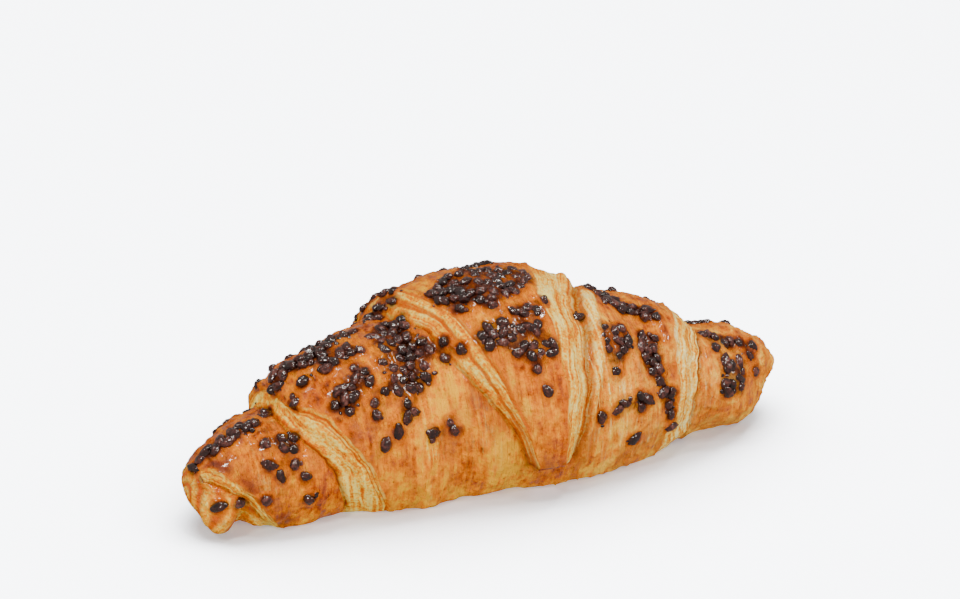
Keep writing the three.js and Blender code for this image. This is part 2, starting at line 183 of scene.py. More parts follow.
# The chocolate grains, by the same groups and draws as on the solid: the middle along X and round the roll,
# the half extents and the count.
GRAIN_GROUPS = [
    (-81, 84, 2.4, 8, 4), (-77, 78, 1.8, 5, 3), (-71.5, 76, 4, 8, 9), (-64, 93, 2, 5, 2),
    (-61.8, 46, 2.4, 9, 10), (-66.4, 49, 1.8, 5, 2), (-68, 31, 1.2, 3, 1), (-65.6, 18, 1, 2, 1),
    (-61.5, 24, 1.4, 3, 2), (-59.9, 12, 1.2, 2, 1), (-68.6, -3, 1.4, 3, 2), (-58.3, -10, 1.6, 2, 2),
    (-80.2, -10, 0.6, 2, 1), (-75.6, -8, 0.6, 2, 1), (-53.7, 67, 1.2, 3, 1), (-51.1, 70, 1.2, 3, 1),
    (-54, 93, 3.5, 9, 8), (-48, 84, 3, 6, 6), (-45, 72, 3, 4, 4), (-40.5, 73, 2.5, 5, 3),
    (-42, 93, 6, 7, 9), (-28.5, 56, 6.5, 17, 34), (-29, 80, 6, 10, 10), (-29, 42, 5, 5, 8),
    (-36.6, 44, 1.6, 3, 3), (-42, 55, 2.6, 6, 4), (-46.5, 47, 2.6, 7, 9), (-40.1, 39, 1, 2, 1),
    (-40.1, 31, 1.2, 2, 2), (-32.2, 34, 1, 2, 1), (-31.8, 27, 1.2, 3, 2), (-35.8, 22, 1.4, 2, 2),
    (-39.7, 17, 1.4, 2, 2), (-26.8, 12, 1.2, 3, 2), (-20.4, 14, 1, 4, 2), (-25, 106, 6, 8, 8),
    (-17.6, 59, 0.8, 2, 1), (-18.4, 49, 0.9, 3, 2), (-15.2, 52, 0.6, 2, 1), (-4, 82, 12, 14, 46),
    (-14, 84, 2.5, 5, 4), (-11.7, 68, 1, 2, 1), (-5.1, 64, 1, 2, 1), (3, 59.5, 4.2, 2, 5),
    (8.7, 66, 0.8, 2, 1), (-6.5, 50.5, 3.6, 6, 12), (2.2, 50.5, 3.4, 2.2, 6), (1.2, 41, 5, 3, 8),
    (-0.3, 32, 1, 2.4, 2), (1.6, 25, 0.6, 2, 1), (17.7, 63, 0.5, 2, 1), (28, 86, 3.5, 10, 9),
    (32, 76, 3.5, 6, 7), (38.5, 71, 2.5, 5, 4), (25, 47, 3.4, 10, 14), (34.5, 44, 3.2, 11, 13),
    (34, 31, 2, 4, 2), (23.1, 29, 0.7, 2, 1), (35.5, 18, 1.4, 5, 4), (38.3, 8, 1.6, 8, 6),
    (39.3, -13, 0.6, 4, 1), (29.2, 12, 1.6, 4, 4), (25, 13, 0.8, 3, 1), (22.5, 7, 0.8, 2, 1),
    (18.1, 4, 0.9, 3, 2), (26.7, -12, 0.9, 2, 1), (59, 70, 3, 4, 5), (64, 57, 3, 5, 5),
    (69, 44, 2.2, 10, 7), (60, 30, 1.6, 8, 6), (58, 12, 1.6, 10, 7), (63.5, 26, 1.6, 8, 4),
    (62.5, 10, 1, 6, 3), (69.4, 14, 0.7, 3, 1), (58.3, 51, 0.6, 2, 1), (-50, 130, 8, 18, 12),
    (-25, 138, 10, 18, 16), (2, 125, 12, 16, 22), (8, 152, 10, 10, 6), (30, 125, 8, 18, 14),
    (45, 118, 5, 14, 6), (65, 114, 6, 15, 8), (-68, 132, 6, 14, 8), (-38, 160, 8, 10, 4),
    (22, 162, 9, 8, 3),
]
GRAIN = {
    "length": (2.6, 4.6), "width": (2.3, 2.9), "height": (2, 2.5), "sunk": 0.45, "gap": 2.3, "tries": 40,
}
SEED = 20240917
DRAW = {"factor": 1664525, "step": 1013904223, "range": 2**32}  # the rule that makes the next draw
GRAIN_POINTS = 208
CRUMB_POINTS = 56
GRAIN_CROWDING = 1.35  # more than 1 puts more of a grain's points on its upper side
CHIPS = {  # flat faces: how far they stray, how deep they cut, and how soft their edges are
    "count": 14, "stray": 0.3, "depth": (0.9, 1.15), "most": 1.18, "sharpness": 7, "seed": 41,
}
GRAIN_LUMPS = {"waves": [(2.4, 0.12), (5.2, 0.17)], "apart": 7.3, "seed": 21}  # frequencies and amounts
# A grain's tone differs at random by the golden ratio's step; its upper side and lumps are painted lighter
# and its hollows darker, as painted light and shade.
GRAIN_TONE_AND_SHADE = {"step": 0.618034, "height": 0.4, "lumps": 0.8}  # the shades differ by the golden ratio's step
GRAIN_STRETCH = (-70, -52, 0.1)  # the grains left of here are longer, by this share
# Round each grain the crust darkens towards its foot: partly a melted chocolate stain, partly painted shade.
STAIN_AND_SHADE_REACH = (1.2, 3.2)  # millimetres from a grain's middle
# Between crowded grains the crust is darkened: partly a chocolate stain, partly painted shade.
CROWD_STAIN_AND_SHADE_REACH = (2.6, 4.2)  # millimetres from the third nearest grain's middle

# Small broken grains and crumbs between and around the others: their share of a group's count, how far
# outside the group they go, their length in millimetres, and their width and height by their length.
CRUMBS = {"share": 0.7, "spread": 1.15, "length": (0.7, 2.2), "form": (0.8, 0.7), "gap": 1.5, "tries": 16}
CRUMB_SEED = 7151

# The bake: how dark the crust is round the roll by angle, and along it by X, then patches of a darker or
# paler bake, one of them partly a painted highlight, with their middle, half extents and amount.
BAKE_ROUND = [
    (-90, 0.4), (-45, 0.28), (-10, 0.4), (30, 0.45), (60, 0.46), (100, 0.5), (150, 0.48), (200, 0.4),
    (270, 0.4),
]
BAKE_ALONG = [
    (-86, 0.14), (-62, 0.12), (-46, 0.07), (-30, 0.02), (-12, -0.04), (8, 0.02), (20, -0.1), (40, -0.1),
    (82, -0.06),
]
BAKE_AND_HIGHLIGHT_PATCHES = [
    # The paler patch at -9.5 mm and 58 degrees is partly paler crust and partly a painted highlight.
    (-20, 22, 5, 24, -0.25), (-9, -8, 6, 16, -0.4), (-9.5, 58, 4, 9, -0.2), (-66, -20, 8, 16, -0.14),
    (-52, 5, 6, 14, 0.12), (-44, 60, 10, 16, 0.04), (-72, 62, 8, 30, 0.12), (-14, -30, 10, 10, 0.1),
    (0, 2, 4, 18, 0.12), (-74, 30, 5, 20, -0.08), (-82, 100, 5, 40, 0.25), (-84, 10, 5, 50, 0.1),
    (-80, -10, 3, 14, 0.22), (-60, 79, 3, 10, -0.25), (24, 10, 7, 30, -0.12), (48, 40, 4, 40, -0.1),
]
STREAK_PATCHES = [  # where the lower crust has torn, paler streaks
    (21, 22, 7, 34, 1.0), (-12, 4, 6, 24, 0.35), (-27, 0, 2.5, 30, 1.1), (50, 20, 5, 50, 0.6),
    (-68, 20, 3, 34, 0.5), (34, -14, 6, 12, 0.5), (-60, 79, 4, 10, 0.8),
]

# Colours as sRGB values, from the photograph's crust, layers and grains.
CRUST_COLOURS = {  # by the bake, at the left and at the right tip
    "left": [
        (0.0, (254, 178, 26)), (0.25, (244, 141, 7)), (0.5, (220, 114, 3)), (0.75, (180, 78, 4)),
        (1.0, (104, 40, 10)),
    ],
    "right": [
        (0.0, (252, 190, 70)), (0.25, (241, 146, 36)), (0.5, (220, 116, 22)), (0.75, (180, 80, 16)),
        (1.0, (108, 44, 18)),
    ],
}
PALE_COLOURS = {
    "left": [(0.0, (218, 106, 2)), (0.35, (248, 152, 12)), (0.7, (255, 188, 42)), (1.0, (255, 224, 110))],
    "right": [(0.0, (218, 116, 14)), (0.35, (248, 170, 44)), (0.7, (255, 204, 86)), (1.0, (255, 236, 156))],
}
COLOURS = {
    # The groove colour is painted shade in the cut edges' feet and along the crack.
    "lines": (198, 86, 2), "rim": (216, 108, 4), "shaded_groove": (134, 50, 6), "margin": (120, 52, 30),
    # The crowd colour darkens the crust between crowded grains: partly a chocolate stain, partly painted
    # shade.
    "mauve": (192, 104, 34), "crowd_stain_and_shade": (66, 26, 14), "spots": (120, 44, 12),
}
# From the amber stain to painted shade at a grain's foot.
STAIN_AND_SHADE_COLOURS = [(0.0, (218, 118, 6)), (0.5, (196, 96, 6)), (0.8, (136, 58, 10)), (1.0, (80, 30, 12))]
CHOCOLATE_COLOURS = [(0.0, (14, 4, 3)), (0.45, (34, 11, 9)), (0.75, (60, 25, 21)), (1.0, (104, 58, 50))]
FLOOR_COLOUR = (244, 248, 255)

# The dough's textures: a scale in each metre, a detail and, if not the usual, a roughness. The stretched
# ones lie on the sheet or its cut edges in millimetres, after a stretch round the roll.
DOUGH_TEXTURES = {
    "patches": (90, 4), "mottle": (260, 3), "specks": (700, 3), "pores": (1400, 3), "beads": (330, 4, 0.65),
    "wobble": (380, 5),
}
STRETCHED_TEXTURES = {
    "streaks": ("sheet", 0.12, 0.7, 2),
    "tears": ("sheet", 0.06, 1.3, 3),
    "mauve": ("sheet", 0.4, 0.11, 3),
    "fine_streaks": ("edge", 0.04, 1.1, 3),
}
LAYERS = {"stretch": 0.03, "noise": (1.6, 1), "sharpness": 40}
NOISE_SPAN = (0.3, 0.7)  # most of a noise's values lie in it
BAKE_UNEVEN = {"patches": 0.26, "mottle": 0.19, "specks": 0.12, "streaks": 0.18}
STREAK_UNEVEN = {"pores": 0.1, "mottle": 0.08}
SHADES = {  # between which values a texture or mark is seen, and the shares that they give, if not 0 and 1
    "rightness": (-15, 45), "streak": (0.28, 0.66), "mauve": (0.48, 0.64, 0, 0.6), "tears": (0.44, 0.6),
    "face": (0.25, 0.75), "lines": (0.05, 0.75), "margin": (0.35, 0.65, 0.35, 0.8),
    "stain_and_shade": (0.3, 0.6, 0.55, 1), "stained": (0, 0.35), "stained_and_shaded_patches": (0.3, 0.6, 0.5, 1),
    "crowd_stain_and_shade": (0.35, 0.6, 0.55, 0.95), "spots": (0.66, 0.74), "glaze": (0.38, 0.62, 0.1, 1),
    "beads": (0.46, 0.6, 0.05, 1), "dull": (0, 1, 0.68, 0.42), "pores": (0, 1, 0.5, 1),
    "chocolate_tone_and_shade": (-0.3, 1.4, 0, 0.55), "chocolate_mottle": (0.36, 0.64, 0, 0.45),
    "chocolate_dull": (0.35, 0.65, 0.35, 0.55),
}
STRENGTHS = {"tears": 0.85, "lines": 0.85, "rim": 0.55, "shaded_groove": 0.7, "spots": 0.55, "stain_gloss": 0.9}
BUMPS = {  # distance in metres, strength
    "lines": (0.0004, 0.3), "tears": (0.0016, 0.8), "wobble": (0.0018, 0.9), "pores": (0.0004, 1),
    "chocolate": (0.001, 0.8),
}
DOUGH_SURFACE = {
    "Coat IOR": 1.7, "Coat Roughness": 0.12, "Specular IOR Level": 0.05,
    "Subsurface Weight": 0.12, "Subsurface Radius": (1, 0.45, 0.2), "Subsurface Scale": 0.0025,
}
CHOCOLATE_TEXTURES = {"mottle": (900, 4, 0.65), "pits": (900, 2, 0.5)}
CHOCOLATE_SURFACE = {"Specular IOR Level": 0.1, "Coat Weight": 1.0, "Coat IOR": 1.68, "Coat Roughness": 0.08}

# The photograph's view: millimetres and degrees. The target lies a little right of and below the middle.
VIEW = {
    "target": (0, 0, 22), "azimuth": -26, "elevation": 24, "distance": 620, "lens": 90.4, "sensor": 36,
    "raised": 2.0, "turned_left": 0.394,
}
LIGHTS = [  # name, place, aim along X, size in metres, power in watts, whether it shows in the gloss
    ("left", (-0.55, -0.3, 0.65), 0, (0.1, 0.1), 2.2, True),
    ("top_left", (-0.3, 0.08, 0.85), 0, (0.1, 0.1), 1.9, True),
    ("top", (-0.02, -0.28, 0.9), 0, (0.1, 0.1), 2, True),
    ("top_right", (0.3, 0, 0.85), 0, (0.1, 0.1), 1.9, True),
    ("right", (0.5, -0.4, 0.65), 0, (0.1, 0.1), 1.7, True),
    ("front", (0, -0.85, 0.2), 0, (1.3, 0.3), 4.4, False),
    ("low_left", (-0.65, -0.55, 0.16), -0.04, (0.5, 0.2), 4, False),
    ("low_right", (0.6, -0.6, 0.1), 0.04, (0.5, 0.15), 3.2, False),
    ("back", (0, 0.85, 0.2), 0, (1.3, 0.3), 2.5, False),
]
AIM_HEIGHT = 0.02
LIGHT_COLOUR = (1, 0.96, 0.9)
WORLD_STRENGTH = 0.34
# The floor's glow is dimmed by the croissant's foot through an ambient-occlusion node: a painted soft
# shadow.
FLOOR = {  # metres, and its glow, which is least in the soft shade by the croissant's foot
    "half": 2, "roughness": 0.7, "glow": 7, "shade_reach": 0.05, "shade_from": 0.45, "shade_least": 0.03,
}


# Curves and noise


def through(knots, position):
    """A smooth curve through (position, value) knots."""
    places, values = np.array(knots, float).T
    count = len(places)
    before = np.maximum(np.arange(count) - 1, 0)
    after = np.minimum(np.arange(count) + 1, count - 1)
    slope = (values[after] - values[before]) / (places[after] - places[before])
    i = np.clip(np.searchsorted(places, position, side="right") - 1, 0, count - 2)
    span = places[i + 1] - places[i]
    t = np.clip((position - places[i]) / span, 0, 1)
    rise = t * t * (3 - 2 * t)
    bend = span * t * (1 - t) * (slope[i] * (1 - t) - slope[i + 1] * t)
    return values[i] + (values[i + 1] - values[i]) * rise + bend


def smooth(low, high, value):
    """0 below low, 1 above high and a smooth rise between them."""
    t = np.clip((value - low) / (high - low), 0, 1)
    return t * t * (3 - 2 * t)


def lattice(cell, seed):
    """A random value from 0 to 1 for each whole-numbered cell of a grid, by mixing its numbers' bits."""
    mixed = cell[..., 0] * 374761393 + cell[..., 1] * 668265263 + cell[..., 2] * 2147483647
    mixed = (mixed + seed * 974634777) & 0xFFFFFFFF
    mixed = ((mixed ^ (mixed >> 13)) * 1274126177) & 0xFFFFFFFF
    return ((mixed ^ (mixed >> 16)) & 0xFFFFFF) / 0xFFFFFF


def noise(points, seed=0):
    """Smooth random values from -1 to 1 at points of shape (..., 3), with features about one unit wide."""
    cell = np.floor(points).astype(np.int64)
    t = points - cell
    t = t * t * t * (t * (t * 6 - 15) + 10)
    total = 0
    for corner in np.ndindex(2, 2, 2):
        share = np.prod(np.where(corner, t, 1 - t), axis=-1)
        total = total + share * lattice(cell + np.array(corner), seed)
    return total * 2 - 1


def noise_at(x, y, z, seed=0):
    return noise(np.stack(np.broadcast_arrays(x, y, z), -1).astype(float), seed)


def bell(value, width):
    return np.exp(-((value / width) ** 2))


# The roll's form


def wound(angle, turn):
    """How far a turn of the sheet is unwound at an angle between -90 and 270."""
    return angle - TONGUE_END["angle"] + 360 * turn


def end_share(x):
    return np.minimum(np.abs(x) / np.where(x < 0, LEFT_LENGTH, RIGHT_LENGTH), 1)


def core_point(x, angle):
    cap = np.sqrt(1 - end_share(x) ** np.where(x < 0, BLUNTNESS["left"], BLUNTNESS["right"]))
    axis = through(CORE["axis"], x)
    up = np.sin(np.radians(angle))
    reach = np.where(up > 0, through(CORE["top"], x) - axis, axis - through(CORE["underside"], x))
    y = through(CORE["back"], x) - through(CORE["half_width"], x) * cap * np.cos(np.radians(angle))
    return np.stack([x + 0 * angle, y, axis + cap * up * reach], -1)


def unit(vectors):
    return vectors / np.linalg.norm(vectors, axis=-1, keepdims=True)


def core_frame(x, angle):
    """The core's directions along the roll and outwards."""
    inward = np.clip(x, FRAME_STEP - LEFT_LENGTH, RIGHT_LENGTH - FRAME_STEP)
    half = FRAME_STEP / 2
    along = unit(core_point(inward + half, angle) - core_point(inward - half, angle))
    around = unit(core_point(inward, angle + FRAME_STEP) - core_point(inward, angle - FRAME_STEP))
    return along, unit(np.cross(along, around))


def arc_at(angle):
    """How far round the roll an angle lies, in millimetres."""
    return np.radians(angle) * ARC_RADIUS


def edge_rise(distance, slope):
    return through(EDGE_PROFILE, np.clip(distance / slope, 0, 1))


def turn_presence(angle, turn):
    """How much of a turn there is: the outermost one starts at the tongue's end."""
    if turn > 0:
        return np.ones_like(angle, float)
    return edge_rise(arc_at(wound(angle, turn)), TONGUE_END["slope"])


def edge_key(turn, side):
    """A number that sets a cut edge's noises apart."""
    return 10 * turn + side


def ragged(angle, turn, side):
    """How far a cut edge strays from its smooth course, in millimetres."""
    key = edge_key(turn, side)
    return sum(amount * noise_at(arc_at(angle) / length, key, 0, seed) for amount, length, seed in RAGGED)


def cut_edges(x, angle, turn, stray=0):
    """How far points lie inside a turn's left and right cut edges, each with its slope's width."""
    place = wound(angle, turn)
    left = through(LEFT_EDGE["place"], place) + stray * ragged(angle, turn, 0)
    right = through(RIGHT_EDGE["place"], place) + stray * ragged(angle, turn, 1)
    slopes = through(LEFT_EDGE["slope"], place), through(RIGHT_EDGE["slope"], place)
    return (x - left, slopes[0]), (right - x, slopes[1])


def ridge_share(x, angle):
    """The ridge beside the tongue's right edge, from 0 to 1."""
    turned = wound(angle, 0)
    beyond = (x - through(RIGHT_EDGE["place"], turned) - RIDGE["gap"]) / through(RIDGE["width"], turned)
    present = np.clip((RIDGE["end"] - turned) / RIDGE["fade"], 0, 1) * np.clip(turned / RIDGE["fade"], 0, 1)
    return present * np.sin(np.pi * np.clip(beyond, 0, 1))


def relief(x, angle, stray=0):
    """How far the plain surface stands off the core."""
    height = 0
    for turn in range(TURN_COUNT):
        (inside_left, slope_left), (inside_right, slope_right) = cut_edges(x, angle, turn, stray)
        cover = edge_rise(inside_left, slope_left) * edge_rise(inside_right, slope_right)
        cover = cover * turn_presence(angle, turn)
        across = np.clip((inside_left - inside_right) / (inside_left + inside_right), -1, 1)
        place = wound(angle, turn)
        height = height + cover * (through(THICKNESS, place) + through(CROWN, place) * (1 - across**2))
    height = height + RIDGE["height"] * ridge_share(x, angle)
    for amount, length, count, phase in LUMPS:
        height = height + amount * np.sin(2 * np.pi * x / length + count * np.radians(angle) + phase)
    for middle_x, middle_angle, half_x, half_angle, swell in SWELLS:
        away = (angle - middle_angle + 180) % 360 - 180
        height = height + swell * np.exp(-(((x - middle_x) / half_x) ** 2) - (away / half_angle) ** 2)
    return height * (1 - end_share(x) ** TIP_FADE_POWER)


def surface_point(x, angle):
    point = core_point(x, angle) + core_frame(x, angle)[1] * relief(x, angle)[..., None]
    point[..., 2] = np.maximum(point[..., 2], 0)
    return point


# The dough's grid


def row_angles():
    share = np.arange(ROWS) / ROWS
    return -90 + 360 * share + TOP_DENSITY * np.sin(2 * np.pi * share)


def station_row(angle):
    """The columns' places along X at one angle, which follow the cut edges but are even under the base."""
    left, right = [-LEFT_LENGTH], [RIGHT_LENGTH]
    for turn in (2, 1, 0):
        place = wound(angle, turn)
        foot, end = through(LEFT_EDGE["place"], place), through(RIGHT_EDGE["place"], place)
        left += [foot, foot + through(LEFT_EDGE["slope"], place)]
        right += [end, end - through(RIGHT_EDGE["slope"], place)]
    for i in range(1, len(left)):
        left[i] = max(left[i], left[i - 1] + TIP_GAP)
        right[i] = min(right[i], right[i - 1] - TIP_GAP)
    knots = np.array(left + right[::-1], float)
    index = np.concatenate([[0], np.cumsum(COLUMNS)])
    followed = np.interp(np.arange(index[-1] + 1), index, knots)
    first, last = np.arange(COLUMNS[0] + 1) / COLUMNS[0], np.arange(COLUMNS[-1] + 1) / COLUMNS[-1]
    followed[: COLUMNS[0] + 1] = knots[0] + (knots[1] - knots[0]) * first**2
    followed[-COLUMNS[-1] - 1 :] = knots[-1] - (knots[-1] - knots[-2]) * (1 - last) ** 2
    even = np.linspace(-1, 1, index[-1] + 1)
    plain = np.where(even < 0, LEFT_LENGTH, RIGHT_LENGTH) * np.sin(even * np.pi / 2)
    share = smooth(*BASE_EVEN, min(angle + 90, 270 - angle))
    return plain * (1 - share) + followed * share


def make_grid():
    angles = row_angles()
    places = np.array([station_row(angle) for angle in angles])
    return places, np.repeat(angles[:, None], places.shape[1], 1)


def raise_mark(marks, name, values):
    marks[name] = np.maximum(marks[name], values)


def mark_edge(marks, arc, edge, inside, slope, presence):
    """Adds the marks of one cut edge, named by its turn and side, to points that lie so far inside it."""
    def leave(name, values):
        raise_mark(marks, name, values * presence)

    key, share = edge_key(*edge), inside / slope
    face = smooth(*FACE["foot"], share) * (1 - smooth(*FACE["brow"], share))
    leave("face", face)
    stray, length, seed = DEPTH_WANDER
    depth = inside + stray * noise_at(arc / length, key, 0, seed)
    marks["depth"] = np.where(face * presence > FACE["least"], depth, marks["depth"])
    stray, length, seed = LINE["wander"]
    fading, fading_seed = LINE["fading"]
    for i, (place, width, strength) in enumerate(LAYER_LINES.get(edge, [])):
        away = inside - place * slope - stray * noise_at(arc / length, key, i, seed)
        shown = smooth(*LINE["shown"], noise_at(arc / fading, key, i, fading_seed))
        leave("lines", strength * shown * bell(away, width))
        leave("bunch", BUNCH["share"] * strength * bell(away, BUNCH["spread"] * width))
    leave("rim", bell(share - 1, RIM_WIDTH))
    width = SHADED_GROOVE["wider"].get(edge, SHADED_GROOVE["width"])
    leave("shaded_groove", bell(inside - SHADED_GROOVE["middle"] * width, width))
    margin = bell(inside - slope - MARGIN["away"], MARGIN["width"])
    leave("margin", MARGIN["strength"].get(edge, 0) * margin)
    outwards = -1 if edge[1] == 0 else 1
    marks["lip"] = marks["lip"] + outwards * bell(share - LIP["place"], LIP["width"]) * presence


def sheet_marks(x, angle):
    """The marks that the cut edges leave on the surface, with the layers' depth and the lips' push."""
    names = ("face", "lines", "bunch", "rim", "shaded_groove", "lip", "margin", "swirl")
    marks = {name: np.zeros_like(x) for name in names}
    marks["depth"] = x.copy()
    for turn in range(TURN_COUNT):
        presence = turn_presence(angle, turn) * (1 - smooth(*EDGE_FADE, wound(angle, turn)))
        for side, (inside, slope) in enumerate(cut_edges(x, angle, turn, 1)):
            mark_edge(marks, arc_at(angle), (turn, side), inside, slope, presence)
    add_swirl(x, angle, marks)
    raise_mark(marks, "shaded_groove", CRACK["depth"] * crack_share(x, angle))
    raise_mark(marks, "face", RIDGE_FACE["share"] * ridge_share(x, angle) ** RIDGE_FACE["power"])
    return marks


def add_swirl(x, angle, marks):
    """Winds the innermost turn's layers round the left tip's end."""
    beyond = -cut_edges(x, angle, SWIRL["after_turn"], 1)[0][0]
    facing, near, far = SWIRL["side"]
    front = smooth(*SWIRL["start"], beyond) * smooth(*SWIRL["tip"], -x)
    front = front * (1 - smooth(near, far, np.abs(angle - facing)))
    cap = smooth(*SWIRL["cap"], -x)
    for name in marks:
        marks[name] = marks[name] * (1 - cap)
    present = np.maximum(front, cap)
    middle = core_point(np.array(-LEFT_LENGTH), np.array(0.0)) + np.array(SWIRL["offset"])
    sideways, upward = (core_point(x, angle)[..., axis] - middle[axis] for axis in (1, 2))
    stray, length, along, seed = SWIRL["wander"]
    layer = np.hypot(sideways, upward) / SWIRL["pitch"] + np.arctan2(upward, sideways) / (2 * np.pi)
    layer = layer + stray * noise_at(sideways / length, upward / length, x / along, seed)
    strata = np.abs(np.sin(np.pi * layer)) ** SWIRL["sharpness"]
    least, length, low, high, seed = SWIRL["shown"]
    clear = smooth(low, high, noise_at(sideways / length, upward / length, 0, seed))
    shown = present * (least + (1 - least) * clear)
    plain, gain = SWIRL["face"]
    raise_mark(marks, "face", (plain + gain * strata * shown) * present)
    marks["depth"] = np.where(present > 0.5, layer * SWIRL["pitch"], marks["depth"])
    raise_mark(marks, "lines", (1 - strata) * shown)
    raise_mark(marks, "swirl", present)


def crack_share(x, angle):
    """The crack along the tongue's end, from 0 to 1."""
    stray, length, seed = CRACK["wander"]
    away = wound(angle, 0) - CRACK["turned"] - stray * noise_at(x / length, 0, 0, seed)
    fade = CRACK["fade"]
    started, ended = (smooth(CRACK[end] - fade, CRACK[end] + fade, x) for end in ("from", "to"))
    return bell(away, CRACK["width"]) * started * (1 - ended)


def fine_relief(x, angle, marks, from_grain):
    """The height of the forms that the plain solid leaves out."""
    arc, crust = arc_at(angle), 1 - marks["face"]

    def noise_of(along, around, seed):
        return noise_at(x / along, arc / around, 0, seed)

    def area(along, around, seed, low, high):
        return crust * smooth(low, high, noise_of(along, around, seed))

    shares = {
        "wrinkles": area(*WRINKLED),
        "pleats": area(*PLEATED),
        "streaks": crust * patches_of(STREAK_PATCHES, x, angle),
        "grit": marks["face"],
        "rough_tip": marks["swirl"],
    }
    height = sum(rise * marks[name] for name, rise in MARK_HEIGHTS.items())
    for name, (rise, *look) in CRUST_FORMS.items():
        form = noise_of(*look)
        if "blisters" in name:
            form = np.maximum(form, 0) ** 2
        elif name == "pleats":
            form = bell(form, PLEAT_WIDTH)
        height = height + rise * shares.get(name, crust) * form
    stray, length, seed = CREASE["wander"]
    for place, lean, low, high, rise in CREASES:
        span = smooth(low, low + CREASE["fade"], angle) * (1 - smooth(high - CREASE["fade"], high, angle))
        away = x - place - lean * angle - stray * noise_at(arc / length, place, 0, seed)
        height = height + rise * span * bell(away, CREASE["width"])
    return height + COLLAR["height"] * bell(from_grain - COLLAR["distance"], COLLAR["width"])


def patches_of(patches, x, angle):
    """The sum of soft-edged patches, each with its middle, half extents and amount."""
    total = 0 * x
    for middle_x, middle_angle, half_x, half_angle, amount in patches:
        reach = ((x - middle_x) / half_x) ** 2 + ((angle - middle_angle) / half_angle) ** 2
        total = total + amount * np.exp(-reach)
    return total


def smooth_mesh(name, points, faces):
    """A smooth-shaded mesh from points in millimetres."""
    mesh = bpy.data.meshes.new(name)
    mesh.from_pydata((points * MM).tolist(), [], faces)
    mesh.polygons.foreach_set("use_smooth", np.ones(len(mesh.polygons), bool))
    return mesh


def store(mesh, name, values):
    attribute = mesh.attributes.new(name, "FLOAT", "POINT")
    attribute.data.foreach_set("value", values.astype(np.float32))


def skin_order(values):
    """A grid's values in the order of its skin's points: all between the tips, then both tips."""
    return np.concatenate([values[:, 1:-1].reshape(-1, *values.shape[2:]), values[:1, 0], values[:1, -1]])


def skin(name, points):
    """A closed mesh over a grid of points round the roll, with one point at each tip."""
    points[:, 0] = points[:, 0].mean(axis=0)
    points[:, -1] = points[:, -1].mean(axis=0)
    rows, width = points.shape[0], points.shape[1] - 2
    index = np.arange(rows * width).reshape(rows, width)
    after = np.roll(index, -1, axis=0)
    quads = np.stack([index[:, :-1], index[:, 1:], after[:, 1:], after[:, :-1]], -1).reshape(-1, 4)
    left, right = rows * width, rows * width + 1
    fans = [(left, a, b) for a, b in zip(index[:, 0], after[:, 0])]
    fans += [(right, b, a) for a, b in zip(index[:, -1], after[:, -1])]
    return smooth_mesh(name, skin_order(points), quads.tolist() + fans)


def build_dough(grains):
    x, angle = make_grid()
    marks = sheet_marks(x, angle)
    along, out = core_frame(x, angle)
    core, height = core_point(x, angle), relief(x, angle, 1)
    from_grain, from_third = grain_distances(grains, core + out * height[..., None])
    fade = 1 - end_share(x) ** FINE_FADE_POWER
    height = height + fine_relief(x, angle, marks, from_grain) * fade
    points = core + out * height[..., None] + along * (LIP["push"] * marks["lip"] * fade)[..., None]
    points[..., 2] = np.maximum(points[..., 2], 0)
    mesh = skin("dough", points)
    values = {name: marks[name] for name in ("face", "lines", "bunch", "rim", "shaded_groove", "depth", "margin")}
    # The bake, with one paler patch that is partly a painted highlight.
    values["bake"] = through(BAKE_ROUND, angle) + through(BAKE_ALONG, x) + patches_of(BAKE_AND_HIGHLIGHT_PATCHES, x, angle)
    values["torn"] = patches_of(STREAK_PATCHES, x, angle)
    values["tip"] = smooth(*TIP_SHARE, end_share(x))
    # A melted chocolate stain round each grain, with painted shade at its foot.
    values["stain_and_shade"] = 1 - smooth(*STAIN_AND_SHADE_REACH, from_grain)
    # Painted shade, with some chocolate stain, on the crust between crowded grains.
    values["crowd_stain_and_shade"] = 1 - smooth(*CROWD_STAIN_AND_SHADE_REACH, from_third)
    for name, value in values.items():
        store(mesh, name, skin_order(value))
    store_sheet(mesh, skin_order(x), skin_order(angle))
    mesh.update()
    return bpy.data.objects.new("dough", mesh)


def store_sheet(mesh, x, angle):
    """Keeps for each corner of each face how far along X and round the roll it lies, in millimetres."""
    corners, sizes = np.empty(len(mesh.loops), np.int64), np.empty(len(mesh.polygons), np.int64)
    mesh.loops.foreach_get("vertex_index", corners)
    mesh.polygons.foreach_get("loop_total", sizes)
    face = np.repeat(np.arange(len(sizes)), sizes)
    highest = np.full(len(sizes), -np.inf)
    np.maximum.at(highest, face, angle[corners])
    turned = angle[corners] + 360 * (highest[face] - angle[corners] > 180)
    values = np.stack([x[corners], arc_at(turned), 0 * turned], -1).astype(np.float32)
    mesh.attributes.new("sheet", "FLOAT_VECTOR", "CORNER").data.foreach_set("vector", values.ravel())


def grain_distances(grains, points):
    """How far each point lies from the nearest and the third nearest grain's middle."""
    tree = KDTree(len(grains))
    for i, grain in enumerate(grains):
        tree.insert(grain["place"], i)
    tree.balance()
    found = np.array([[near[2] for near in tree.find_n(point, 3)] for point in points.reshape(-1, 3)])
    return found[:, 0].reshape(points.shape[:2]), found[:, 2].reshape(points.shape[:2])


# Chocolate grains


def draws(seed):
    """Repeatable random draws from 0 to 1, by the same rule as on the solid."""
    state = seed
    while True:
        state = (DRAW["factor"] * state + DRAW["step"]) % DRAW["range"]
        yield state / DRAW["range"]


def mix(span, share):
    return span[0] + (span[1] - span[0]) * share


